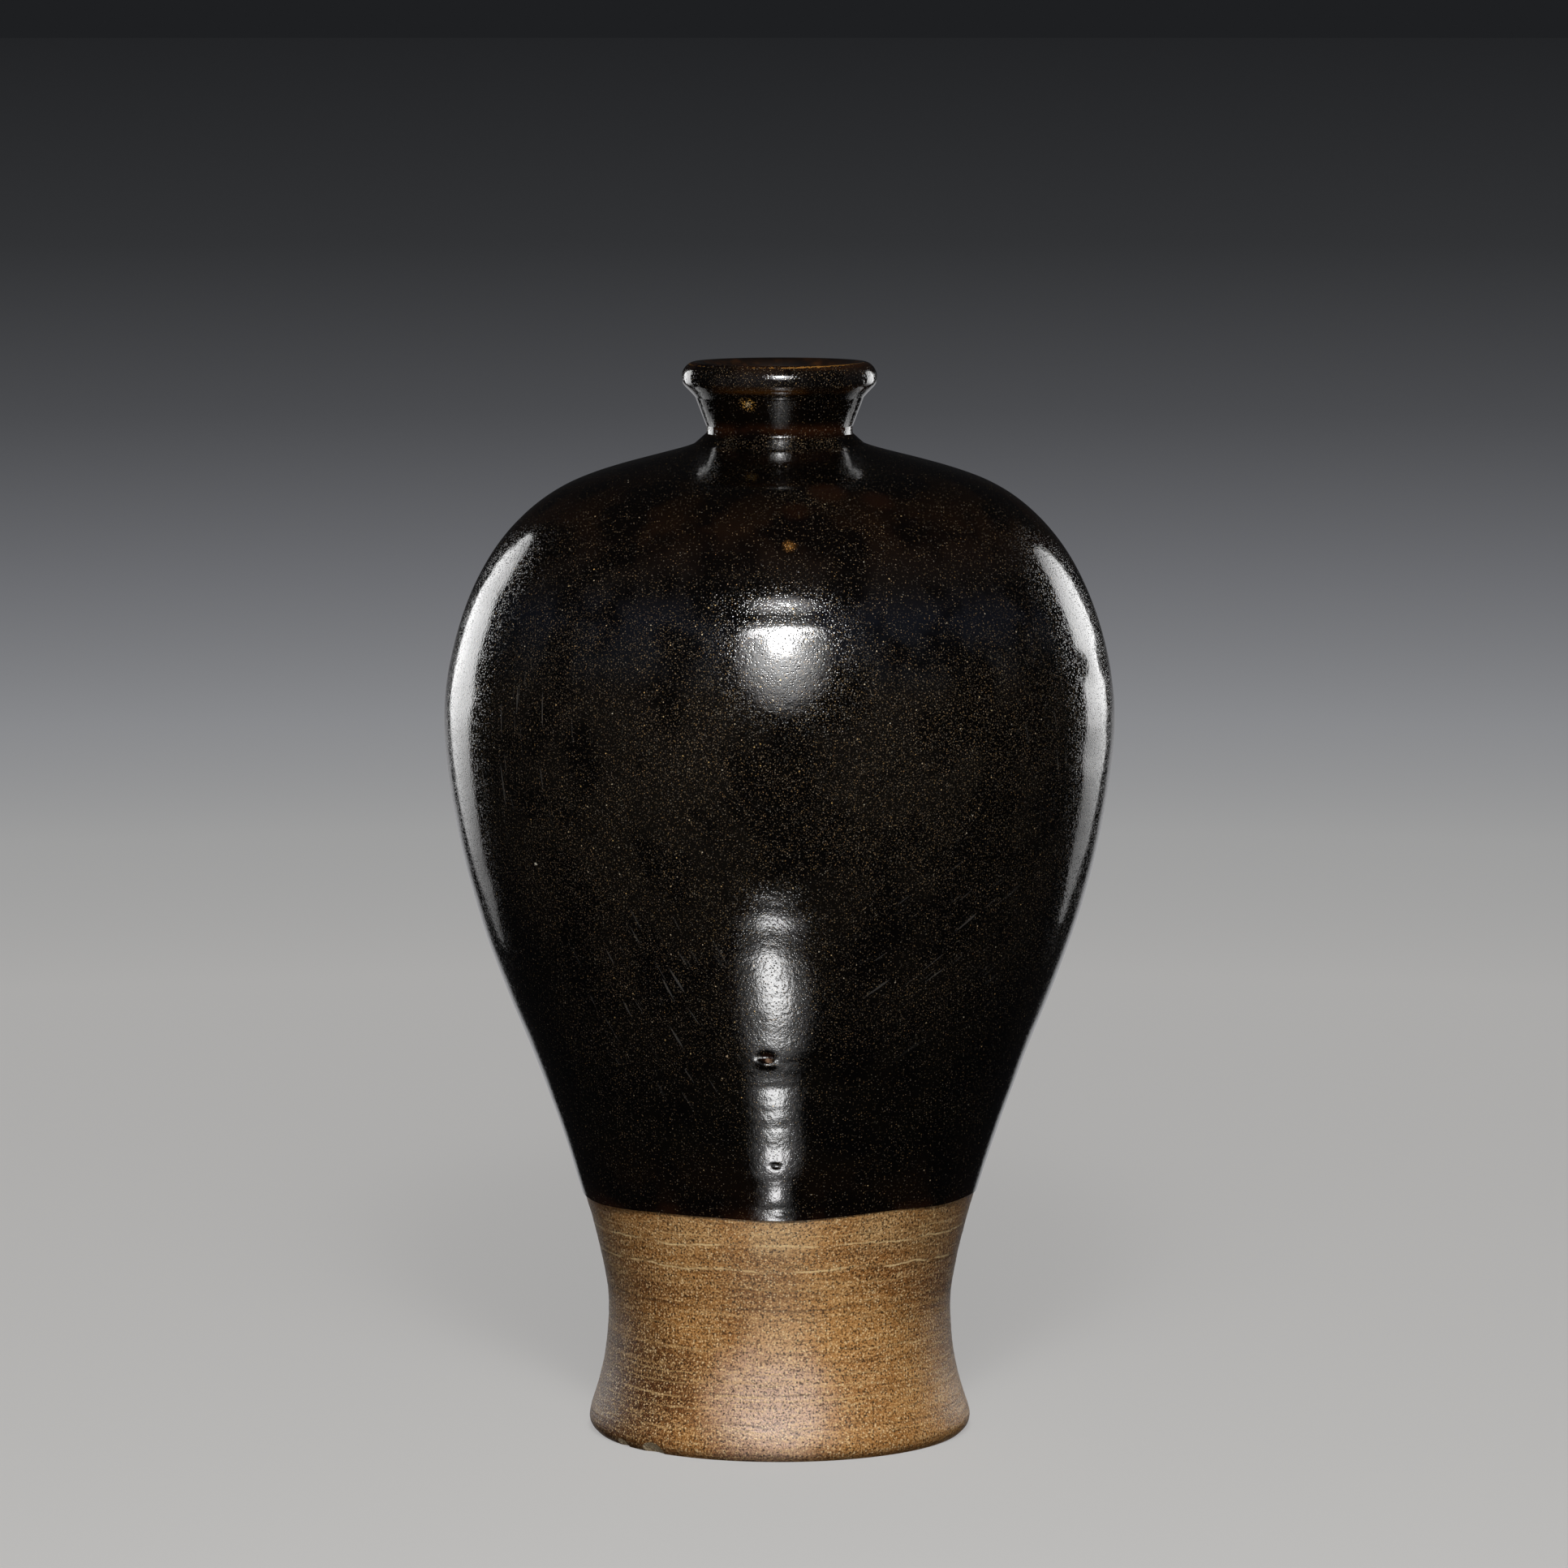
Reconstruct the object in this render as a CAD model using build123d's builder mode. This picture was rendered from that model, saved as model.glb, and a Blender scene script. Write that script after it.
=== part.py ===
"""A tall-shouldered stoneware vase: wheel-thrown sections luted together and dipped in black glaze.

Every length is in millimetres. The axis of the wheel is +Z, and the foot stands on Z = 0.
"""

import os
from collections import namedtuple
from math import cos, hypot, radians, sin, sqrt

from build123d import *

os.makedirs("parts", exist_ok=True)

# Heights, stacked from the table up
bare_foot_height = 75.0  # unglazed clay, from the table to the edge of the glaze
lower_wall_height = 147.0  # from the edge of the glaze to the widest place
shoulder_height = 83.0  # from the widest place to the joint under the neck
neck_height = 20.5  # from that joint to the widest place of the lip
lip_height = 4.5  # from there to the crest of the lip

# Radii of the finished outside
foot_radius = 58.9
waist_radius = 52.85
belly_radius = 102.85
neck_radius = 22.4
lip_radius = 29.75

# The worn toe of the foot, the spread of the neck's root and the roll of the lip
toe_setback = 2.2  # how far the standing edge lies inside the foot's widest place
toe_height = 4.0
neck_spread = 5.1  # how much wider than the neck its root is at the joint
crest_setback = 3.75  # how far the crest lies inside the widest place of the lip

# Thicknesses of the clay
foot_wall = 8.5
lower_wall = 6.5
belly_wall = 5.5
shoulder_wall = 5.2
neck_wall = 3.4
floor_thickness = 9.0

# Foot ring, left by the shallow recess that is cut into the base
ring_width = 11.0
ring_chamfer = 1.2
recess_depth = 3.5

# Coats and joints
glaze_thickness = 0.6  # black glaze outside
lining_thickness = 0.4  # thinner glaze inside and over the crest
slip_thickness = 1.0  # layer of slip that lutes two sections together
belly_joint_rise = 18.0  # how far the joint in the wall lies above the widest place

# Chips in the standing edge: shell-shaped flakes, each with its bearing in degrees round
# from the front, its width along the edge, and its depth and height there
Chip = namedtuple("Chip", "bearing width depth height")
chips = [
    Chip(bearing=-41.9, width=10.5, depth=1.9, height=3.6),
    Chip(bearing=-56.0, width=5.0, depth=0.9, height=2.6),
]

# Heights of the stations between, as shares of the stretch that each one lies in
waist_height_share = 0.517
hip_height_share = 0.351
crown_height_share = 0.860
neck_height_share = 0.183
lip_root_height_share = 0.761

# Radii of the same, as shares of the step between the radii on each side
hip_radius_share = 0.535
crown_radius_share = 0.513
lip_root_radius_share = 0.612
floor_radius_share = 0.70  # flat of the floor inside, as a share of the waist

glaze_roll_share = 0.75  # rounding of the glaze's lower edge, as a share of its thickness

# Places that follow from the sizes above
belly_height = bare_foot_height + lower_wall_height
neck_joint_height = belly_height + shoulder_height
belly_slip_bottom = belly_height + belly_joint_rise - slip_thickness / 2
neck_slip_bottom = neck_joint_height - slip_thickness / 2
lip_centre_height = neck_joint_height + neck_height
total_height = lip_centre_height + lip_height
standing_radius = foot_radius - toe_setback
ring_inner_radius = standing_radius - ring_width
floor_height = recess_depth + floor_thickness
bore_radius = neck_radius - glaze_thickness - neck_wall  # of the clay, before its lining

# One place on the outline of a wall: its radius and height, the lean of the wall in degrees
# (0 upright, positive closing in as it rises), and how far the curve keeps to that lean
# below and above, as shares of the distance to the next station
Station = namedtuple("Station", "radius height lean below_share above_share")

toe = Station(standing_radius, 0, -48, 0, 0.30)
foot = Station(foot_radius, toe_height, 0, 0.45, 0.12)
waist = Station(waist_radius, bare_foot_height * waist_height_share, 0, 0.605, 0.213)
hip = Station(
    waist_radius + (belly_radius - waist_radius) * hip_radius_share,
    bare_foot_height + lower_wall_height * hip_height_share,
    -23,
    0.207,
    0.344,
)
belly = Station(belly_radius, belly_height, 0, 0.301, 0.196)
crown = Station(
    neck_radius + (belly_radius - neck_radius) * crown_radius_share,
    belly_height + shoulder_height * crown_height_share,
    65.3,
    0.425,
    0.327,
)
neck_root = Station(neck_radius + neck_spread, neck_slip_bottom, 68.7, 0.158, 0.441)
neck = Station(neck_radius, neck_joint_height + neck_height * neck_height_share, 0, 0.344, 0.442)
lip_root = Station(
    neck_radius + (lip_radius - neck_radius) * lip_root_radius_share,
    neck_joint_height + neck_height * lip_root_height_share,
    -43.5,
    0.298,
    0.673,
)
lip = Station(lip_radius, lip_centre_height, 0, 0.412, 0.406)
crest = Station(lip_radius - crest_setback, total_height, 90, 0.309, 0)


def set_in(station, depth):
    """The station moved square to its wall, inwards for a positive depth."""
    return station._replace(
        radius=station.radius - depth * cos(radians(station.lean)),
        height=station.height - depth * sin(radians(station.lean)),
    )


def draw_wall(stations):
    """Join the stations, given from the lowest up, by curves that keep to their leans."""
    for low, high in zip(stations, stations[1:]):
        distance = hypot(high.radius - low.radius, high.height - low.height)
        low_reach = distance * low.above_share
        high_reach = distance * high.below_share
        low_lean, high_lean = radians(low.lean), radians(high.lean)
        Bezier(
            (low.radius, low.height),
            (low.radius - low_reach * sin(low_lean), low.height + low_reach * cos(low_lean)),
            (high.radius + high_reach * sin(high_lean), high.height - high_reach * cos(high_lean)),
            (high.radius, high.height),
        )


# The clay is bare up to the waist and lies under the glaze above it
glazed_outside = [hip, belly, crown, neck_root, neck, lip_root, lip]
clay_crest = set_in(crest, lining_thickness)
clay_outside = [waist, *(set_in(station, glaze_thickness) for station in glazed_outside), clay_crest]
glaze_outside = [set_in(waist, -glaze_thickness), *glazed_outside, crest]

# The hollow inside the clay, from the flat of the floor up to the throat
floor_edge = Station(waist_radius * floor_radius_share, floor_height, -90, 0, 0.25)
throat_low = Station(bore_radius, neck_slip_bottom, 0, 0.55, 0)
throat_high = Station(bore_radius, neck.height + neck_wall, 0, 0, 0.45)
mouth_crest = clay_crest._replace(lean=-90, below_share=0.25)
chamber = [
    floor_edge,
    set_in(waist, foot_wall)._replace(below_share=0.45),
    set_in(hip, glaze_thickness + lower_wall),
    set_in(belly, glaze_thickness + belly_wall),
    set_in(crown, glaze_thickness + shoulder_wall),
    set_in(neck_root, glaze_thickness + shoulder_wall)._replace(above_share=0.30),
    throat_low,
]
mouth = [throat_high, mouth_crest]


def draw_hollow(lining):
    """The floor, wall, throat and mouth inside the vase, within a lining of this thickness."""
    lined_chamber = [set_in(station, lining) for station in chamber]
    lined_mouth = [set_in(station, lining) for station in mouth]
    Line((0, lined_chamber[0].height), (lined_chamber[0].radius, lined_chamber[0].height))
    draw_wall(lined_chamber)
    Line(
        (lined_chamber[-1].radius, lined_chamber[-1].height),
        (lined_mouth[0].radius, lined_mouth[0].height),
    )
    draw_wall(lined_mouth)


def keep_between(low, high):
    """Cut the sketch down to the band between two heights."""
    with Locations((0, low)):
        Rectangle(belly_radius, high - low, align=(Align.MIN, Align.MIN), mode=Mode.INTERSECT)


def clay_between(low, high):
    """Half of the section through the clay between two heights."""
    with BuildSketch(Plane.XZ) as section:
        with BuildLine():
            Polyline(
                (0, floor_height),
                (0, recess_depth),
                (ring_inner_radius, recess_depth),
                (ring_inner_radius, ring_chamfer),
                (ring_inner_radius + ring_chamfer, 0),
                (standing_radius, 0),
            )
            draw_wall([toe, foot, waist])
            draw_wall(clay_outside)
            draw_hollow(0)
        make_face()
        keep_between(low, high)
    return section.sketch


def flake(chip):
    """The ball whose surface leaves this chip, as its radius and its centre."""
    ball_radius = (chip.width**2 / 4 + chip.depth**2) / (2 * chip.depth)
    centre_radius = standing_radius + ball_radius - chip.depth
    rise = sqrt(ball_radius**2 - (centre_radius - foot_radius) ** 2)
    bearing = radians(chip.bearing)
    centre = (centre_radius * sin(bearing), -centre_radius * cos(bearing), chip.height - rise)
    return ball_radius, centre


# Foot and lower wall, thrown as one tall section
with BuildPart() as foot_section:
    add(clay_between(0, belly_slip_bottom))
    revolve(axis=Axis.Z)
    for chip in chips:
        ball_radius, centre = flake(chip)
        with Locations(centre):
            Sphere(ball_radius, mode=Mode.SUBTRACT)
foot_section.part.label = "foot_section"
export_step(foot_section.part, "parts/foot_section.step")

# Slip that lutes the shoulder to the lower wall
with BuildPart() as belly_joint_slip:
    add(clay_between(belly_slip_bottom, belly_slip_bottom + slip_thickness))
    revolve(axis=Axis.Z)
belly_joint_slip.part.label = "belly_joint_slip"
export_step(belly_joint_slip.part, "parts/belly_joint_slip.step")

# Upper wall and shoulder, closed in to the hole that the neck stands on
with BuildPart() as shoulder_section:
    add(clay_between(belly_slip_bottom + slip_thickness, neck_slip_bottom))
    revolve(axis=Axis.Z)
shoulder_section.part.label = "shoulder_section"
export_step(shoulder_section.part, "parts/shoulder_section.step")

# Slip that lutes the neck to the shoulder
with BuildPart() as neck_joint_slip:
    add(clay_between(neck_slip_bottom, neck_slip_bottom + slip_thickness))
    revolve(axis=Axis.Z)
neck_joint_slip.part.label = "neck_joint_slip"
export_step(neck_joint_slip.part, "parts/neck_joint_slip.step")

# Neck with its rolled lip, thrown and turned separately
with BuildPart() as neck_section:
    add(clay_between(neck_slip_bottom + slip_thickness, total_height))
    revolve(axis=Axis.Z)
neck_section.part.label = "neck_section"
export_step(neck_section.part, "parts/neck_section.step")

# Black glaze over the outside, from its rolled edge above the foot to the crest of the lip
with BuildPart() as outer_glaze:
    with BuildSketch(Plane.XZ) as coat:
        with BuildLine():
            draw_wall(glaze_outside)
            draw_wall(clay_outside)
            Line((waist.radius, waist.height), (waist.radius + glaze_thickness, waist.height))
            Line((crest.radius, clay_crest.height), (crest.radius, crest.height))
        make_face()
        keep_between(bare_foot_height, total_height)
        outer_corner = coat.vertices().group_by(Axis.Y)[0].sort_by(Axis.X)[-1]
        fillet(outer_corner, radius=glaze_thickness * glaze_roll_share)
    revolve(axis=Axis.Z)
outer_glaze.part.label = "outer_glaze"
export_step(outer_glaze.part, "parts/outer_glaze.step")

# Thinner glaze poured round the inside, up to where it meets the outer coat on the crest
with BuildPart() as inner_glaze:
    with BuildSketch(Plane.XZ):
        with BuildLine():
            draw_hollow(0)
            draw_hollow(lining_thickness)
            Line((0, floor_height), (0, floor_height + lining_thickness))
            Line((crest.radius, clay_crest.height), (crest.radius, crest.height))
        make_face()
    revolve(axis=Axis.Z)
inner_glaze.part.label = "inner_glaze"
export_step(inner_glaze.part, "parts/inner_glaze.step")
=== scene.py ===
import math

import bmesh
import bpy
import numpy as np
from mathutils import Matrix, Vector


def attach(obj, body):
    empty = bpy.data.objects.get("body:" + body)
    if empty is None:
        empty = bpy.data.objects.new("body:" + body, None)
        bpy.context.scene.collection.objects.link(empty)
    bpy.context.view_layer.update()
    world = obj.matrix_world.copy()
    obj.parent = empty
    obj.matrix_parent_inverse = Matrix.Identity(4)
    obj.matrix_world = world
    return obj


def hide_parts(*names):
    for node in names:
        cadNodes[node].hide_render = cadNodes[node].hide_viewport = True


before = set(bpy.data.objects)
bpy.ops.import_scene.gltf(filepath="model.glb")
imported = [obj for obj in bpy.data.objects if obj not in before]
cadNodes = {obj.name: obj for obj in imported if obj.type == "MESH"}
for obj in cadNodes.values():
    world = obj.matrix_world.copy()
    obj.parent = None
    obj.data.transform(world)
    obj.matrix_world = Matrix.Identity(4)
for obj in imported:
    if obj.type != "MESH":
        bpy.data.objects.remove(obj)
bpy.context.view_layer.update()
mm = 0.001
mergeWithin = 0.002 * mm  # vertices this close together become one
slack = 0.01  # mm from a cut within which its vertices are found
crispAngle = 50  # degrees, edges that turn more than this stay crisp
print("frame loaded:", ", ".join(sorted(cadNodes)))


def toLinear(hexCode):  # sRGB hex to the linear colour that Blender's sockets take
    parts = [int(hexCode[i:i + 2], 16) / 255 for i in (1, 3, 5)]
    return [p / 12.92 if p <= 0.04045 else ((p + 0.055) / 1.055) ** 2.4 for p in parts] + [1.0]


# Hex values become linear, and stops are a ramp's. Sockets are named or numbered: Map Range reads between
# 1 and 2 and gives 3 to 4, and a colour Mix has its factor in 0 and its colours in 6 and 7
def addNode(material, kind, values=None, links=None, stops=None, **settings):
    tree = material.node_tree
    node = tree.nodes.new(kind)
    for name, setting in settings.items():
        setattr(node, name, setting)
    for socket, value in (values or {}).items():
        node.inputs[socket].default_value = toLinear(value) if isinstance(value, str) else value
    for socket, source in (links or {}).items():
        tree.links.new(source, node.inputs[socket])
    for i, (place, hexCode) in enumerate(stops or []):
        ramp = node.color_ramp.elements
        stop = ramp[i] if i < 2 else ramp.new(place)
        stop.position = place
        stop.color = toLinear(hexCode)
    return node


def startMaterial(name):
    material = bpy.data.materials.new(name)
    material.use_nodes = True
    material.node_tree.nodes.clear()
    return material


def coverRound(material, place, middle, size, core, most, ease="LINEAR"):
    # how much shows round a place: most of it within this core, as a share of size, and none past size in mm
    away = addNode(
        material, "ShaderNodeVectorMath", {1: middle}, {0: place}, operation="DISTANCE",
    ).outputs["Value"]
    return addNode(
        material, "ShaderNodeMapRange", {1: size * mm, 2: size * core * mm, 3: 0.0, 4: most}, {0: away},
        interpolation_type=ease,
    ).outputs[0]


def scatterCells(material, place, cell):  # how far from a random cell's middle, and three random numbers
    cells = addNode(
        material, "ShaderNodeTexVoronoi", {"Scale": 1 / (cell * mm), "Randomness": 1.0}, {"Vector": place},
    )
    luck = addNode(material, "ShaderNodeSeparateColor", links={0: cells.outputs["Color"]}).outputs
    return cells.outputs["Distance"], luck


def onAxis(bearing, radius, height):  # bearing in degrees from the front, -Y, towards +X; mm in, metres out
    turn = math.radians(bearing)
    return Vector((radius * math.sin(turn), -radius * math.cos(turn), height)) * mm


def deselectAll():
    if bpy.context.object and bpy.context.object.mode != "OBJECT":
        bpy.ops.object.mode_set(mode="OBJECT")
    bpy.ops.object.select_all(action="DESELECT")


def makeActive(piece):
    deselectAll()
    piece.select_set(True)
    bpy.context.view_layer.objects.active = piece


# The form, as the potter's profile: radius and height in mm, lean of the wall in degrees,
# and how far the curve keeps to that lean below and above, as shares of the next stretch
form = {
    "toe": (56.7, 0, -48, 0, 0.30),
    "foot": (58.9, 4.0, 0, 0.45, 0.12),
    "waist": (52.85, 38.775, 0, 0.605, 0.213),
    "hip": (79.6, 126.6, -23, 0.207, 0.344),
    "belly": (102.85, 222, 0, 0.301, 0.196),
    "crown": (63.7, 293.4, 65.3, 0.425, 0.327),
    "neckRoot": (27.5, 304.5, 68.7, 0.158, 0.441),
    "neck": (22.4, 308.75, 0, 0.344, 0.442),
    "lipRoot": (26.9, 320.6, -43.5, 0.298, 0.673),
    "lip": (29.75, 325.5, 0, 0.412, 0.406),
    "crest": (26.0, 330, 90, 0.309, 0),
    "floorEdge": (37.0, 12.5, -90, 0, 0.25),
    "throatLow": (18.4, 304.5, 0, 0.55, 0.33),
    "throatHigh": (18.4, 312.15, 0, 0.33, 0.45),
}
crestRadius, crestHeight = form["crest"][:2]
floorRadius, floorHeight = form["floorEdge"][:2]
# Thicknesses in mm: the clay from the foot up, and the coats on it
thick = {"foot": 8.5, "lower": 6.5, "belly": 5.5, "shoulder": 5.2, "glaze": 0.6, "lining": 0.4}


def setIn(name, depth, below=None, above=None):  # a station moved square to its wall, inwards
    radius, height, lean, ownBelow, ownAbove = form[name]
    turn = math.radians(lean)
    return (
        radius - depth * math.cos(turn),
        height - depth * math.sin(turn),
        lean,
        ownBelow if below is None else below,
        ownAbove if above is None else above,
    )


def drawProfile(name, stretches, bearing):  # stretches: stations and the row length in mm between two of them
    deselectAll()
    bpy.ops.curve.primitive_bezier_curve_add(location=(0, 0, 0))
    profile = bpy.context.object
    profile.name = name
    profile.data.splines.clear()
    for stations, rows in stretches:
        for i, (low, high) in enumerate(zip(stations, stations[1:])):
            distance = math.hypot(high[0] - low[0], high[1] - low[1])
            row = rows[i] if isinstance(rows, (list, tuple)) else rows
            spline = profile.data.splines.new("BEZIER")
            spline.bezier_points.add(1)
            spline.resolution_u = max(1, round(distance / row))
            for point, station, reach in (
                (spline.bezier_points[0], low, distance * low[4]),
                (spline.bezier_points[1], high, distance * high[3]),
            ):
                turn = math.radians(station[2])
                stepOut, stepUp = -reach * math.sin(turn), reach * math.cos(turn)
                point.handle_left_type = point.handle_right_type = "FREE"
                point.co = onAxis(bearing, station[0], station[1])
                point.handle_left = onAxis(bearing, station[0] - stepOut, station[1] - stepUp)
                point.handle_right = onAxis(bearing, station[0] + stepOut, station[1] + stepUp)
    bpy.ops.object.convert(target="MESH")
    return bpy.context.object


def drawStraight(points):  # straight runs as stations, so that drawProfile takes them too
    runs = []
    for (r0, z0), (r1, z1) in zip(points, points[1:]):
        lean = math.degrees(math.atan2(-(r1 - r0), z1 - z0))
        runs.append([(r0, z0, lean, 0, 0.33), (r1, z1, lean, 0.33, 0)])
    return runs


def spinPiece(piece, arcs):  # arcs: degrees and steps, one after the other round the wheel's axis
    makeActive(piece)
    bpy.ops.object.mode_set(mode="EDIT")
    bpy.ops.mesh.select_all(action="SELECT")
    bpy.ops.mesh.remove_doubles(threshold=mergeWithin)
    for degrees, steps in arcs:
        bpy.ops.mesh.spin(steps=steps, angle=math.radians(degrees), center=(0, 0, 0), axis=(0, 0, 1))
    bpy.ops.mesh.select_all(action="SELECT")
    bpy.ops.mesh.remove_doubles(threshold=mergeWithin)
    bpy.ops.mesh.normals_make_consistent(inside=False)
    bpy.ops.object.mode_set(mode="OBJECT")


def readPlaces(piece):  # x, y and z of its vertices in mm, with the radius and bearing of each
    places = np.empty(len(piece.data.vertices) * 3)
    piece.data.vertices.foreach_get("co", places)
    x, y, z = places.reshape(-1, 3).T / mm
    return x, y, z, np.hypot(x, y), np.degrees(np.arctan2(x, -y))


def weighVertices(piece, name, weights):
    fullWeight = 256  # in steps, so that whole lists of vertices are added at once
    group = piece.vertex_groups.new(name=name)
    steps = np.round(np.clip(weights, 0, 1) * fullWeight).astype(int)
    for step in np.unique(steps[steps > 0]):
        group.add(np.flatnonzero(steps == step).tolist(), float(step) / fullWeight, "REPLACE")


def makeUneven(piece, group, depth, cell, offset):
    # depth in mm from lowest to highest; cell: size of the unevenness in mm along X, Y and Z
    makeActive(piece)
    bpy.ops.object.empty_add(location=Vector(offset) * mm)
    guide = bpy.context.object
    guide.scale = Vector(cell) * mm
    clouds = bpy.data.textures.new(piece.name + "Clouds", "CLOUDS")
    clouds.noise_scale = 1
    clouds.noise_depth = 1
    clouds.noise_basis = "ORIGINAL_PERLIN"
    makeActive(piece)
    uneven = piece.modifiers.new("uneven", "DISPLACE")
    uneven.texture = clouds
    uneven.texture_coords = "OBJECT"
    uneven.texture_coords_object = guide
    uneven.mid_level = 0.5
    uneven.strength = depth * mm
    uneven.vertex_group = group
    bpy.ops.object.modifier_apply(modifier=uneven.name)
    bpy.data.objects.remove(guide)
    bpy.data.textures.remove(clouds)


def pushSurface(piece, marks, direction="NORMAL"):
    # marks: bearing, height, half width and half rise of the place, and the push outwards or upwards, in mm
    x, y, z, radius, bearing = readPlaces(piece)
    normals = np.empty(len(x) * 3)
    piece.data.vertices.foreach_get("normal", normals)
    normals = normals.reshape(-1, 3).T
    hidden = normals[0] * x + normals[1] * y < 0
    for way in (1, -1):
        push = np.zeros(len(x))
        for markBearing, height, width, rise, depth in marks:
            if depth * way < 0:
                continue
            across = np.radians((bearing - markBearing + 180) % 360 - 180) * radius
            near = np.clip(1 - np.hypot(across / width, (z - height) / rise), 0, 1)
            push += abs(depth) * near * near * (3 - 2 * near)
        if direction == "NORMAL":  # the hidden back of the wall stays
            push[hidden] = 0
        if push.max() == 0:
            continue
        weighVertices(piece, "pushed", push / push.max())
        makeActive(piece)
        pressed = piece.modifiers.new("pushed", "DISPLACE")
        pressed.direction = direction
        pressed.mid_level = 0
        pressed.strength = way * push.max() * mm
        pressed.vertex_group = "pushed"
        bpy.ops.object.modifier_apply(modifier=pressed.name)
        piece.vertex_groups.remove(piece.vertex_groups["pushed"])


def finishPiece(piece, nodeNames):
    makeActive(piece)
    piece.vertex_groups.clear()
    bpy.ops.object.shade_smooth_by_angle(angle=math.radians(crispAngle))
    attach(piece, "root")
    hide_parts(*nodeNames)
    print(piece.name, "made:", len(piece.data.vertices), "vertices")


# Lens and sensor in mm, place in metres, tilt in degrees from straight down, shift as a share of the width
camera = {"lens": 165.0, "sensor": 36, "place": (0, -2.1962, 0.4388), "tilt": 83.8, "shift": 0.00285}
deselectAll()
bpy.ops.object.camera_add(location=camera["place"], rotation=(math.radians(camera["tilt"]), 0, 0))
view = bpy.context.object
view.data.lens = camera["lens"]
view.data.sensor_width = camera["sensor"]
view.data.shift_x = camera["shift"]
bpy.context.scene.camera = view
bpy.context.scene.view_settings.view_transform = "Standard"

# Black glaze over the outside, with its rolled lower edge
glaze = {
    "edge": 75.0,  # height of its lower edge
    "roll": 0.45,  # rounding of that edge
    "start": 20,  # bearing where the fine front part begins; the spin goes on towards -X
    "arcs": [(40, 80), (320, 170)],  # degrees and steps of the fine front and of the rest
    "rows": [0.7, 1.25, 1.15, 1.0, 0.5, 0.4, 0.4, 0.5],  # row lengths in mm from station to station
    "backRow": 9,  # the same on the hidden back
    "calmAtCrest": 3,  # mm below the crest over which the unevenness dies away
    # depth, size of the unevenness along X, Y, Z and where its pattern starts
    "uneven": [
        (0.35, (150, 150, 21), (31, 7, 4)),  # throwing rings under the glaze
        (0.9, (75, 75, 60), (5, 44, 9)),  # hand-thrown wall, not quite round
        (0.10, (46, 46, 10), (8, 1, 6)),  # finger marks
        (0.09, (11, 11, 6), (2, 3, 1)),  # glaze that settled unevenly
    ],
    # bearing, height, half width and half rise, and the push up
    "edgeWaves": [
        (-64, 75, 34, 22, -1.0), (0, 75, 22, 18, -0.5), (34, 75, 30, 22, 1.0), (68, 75, 22, 18, 0.4),
        (110, 75, 30, 22, -0.7), (158, 75, 30, 22, 0.5), (205, 75, 30, 22, -0.9), (250, 75, 26, 20, 0.5),
    ],
    # the same for what stands proud or is sunk
    "marks": [
        (0, 83.0, 13, 6.2, 0.34), (0.3, 76.6, 4.2, 1.5, 0.12),  # thick run above the edge
        (-2.9, 127.0, 4.6, 1.5, -0.50), (-2.7, 124.6, 4.0, 1.7, 0.22),  # burst bubble and its lip
        (-0.9, 92.4, 2.4, 0.9, -0.34),  # smaller bubble
        (18, 97, 24, 16, 0.30), (12, 170, 26, 12, 0.20), (14, 140, 30, 30, 0.35),  # where the hands pressed
        (-14, 112, 26, 20, -0.15), (-66, 281, 14, 5, 0.25), (66, 283, 14, 5, 0.2), (70, 241, 12, 8, 0.5),
        (-74, 262, 16, 7, 0.3), (66, 214, 20, 9, -0.3), (-68, 230, 18, 12, -0.25), (62, 180, 18, 10, 0.3),
        (-60, 170, 20, 9, 0.25), (2, 261.2, 48, 4.6, -0.21), (-1, 288.5, 8, 1.6, -0.10),
        (0, 304.9, 60, 0.9, -0.14), (2, 307.7, 14, 1.1, 0.08),  # root of the neck
        (3, 322.4, 7, 0.8, 0.15), (3, 320.5, 8, 0.8, 0.15), (3, 318.3, 9, 0.8, 0.13),  # ridges on the neck
    ],
    # throwing rings down the front of the lower wall: height, half rise and push
    "rings": [
        (182, 9, 0.44), (174, 8, 0.16), (167, 7.5, -0.06), (160, 7.5, -0.03), (152, 8.5, -0.06),
        (144, 8.5, -0.16), (137, 7.5, -0.16), (131, 6.5, 0.0), (126, 5.5, 0.06), (121.5, 5, 0.11),
        (117.2, 4.6, 0.11), (113.2, 4.6, 0.30), (109, 5, 0.33), (103.5, 6.5, 0.32), (97, 7.5, 0.37),
        (90, 7.5, 0.42), (84.5, 5, -0.10), (80, 4, 0.03),
    ],
    "ringHalfWidth": 42,  # mm to each side over which they die away
}

coated = ("hip", "belly", "crown", "neckRoot", "neck", "lipRoot", "lip")
outerStations = [setIn("waist", -thick["glaze"])] + [setIn(name, 0) for name in coated + ("crest",)]
backStations = (
    [setIn("waist", 0)] + [setIn(name, thick["glaze"]) for name in coated] + [setIn("crest", thick["lining"])]
)
crestStep = drawStraight([(crestRadius, crestHeight - thick["lining"]), (crestRadius, crestHeight)])
outerProfile = drawProfile("blackGlaze", [(outerStations, glaze["rows"])], glaze["start"])
weighVertices(outerProfile, "outside", (crestHeight - readPlaces(outerProfile)[2]) / glaze["calmAtCrest"])
backProfile = drawProfile(
    "glazeBack", [(backStations, glaze["backRow"])] + [(run, 1) for run in crestStep], glaze["start"],
)
makeActive(outerProfile)
backProfile.select_set(True)
bpy.ops.object.join()
blackGlaze = bpy.context.object
bpy.ops.object.mode_set(mode="EDIT")
bpy.ops.mesh.select_all(action="SELECT")
bpy.ops.mesh.bisect(plane_co=(0, 0, glaze["edge"] * mm), plane_no=(0, 0, 1), clear_inner=True)
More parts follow.
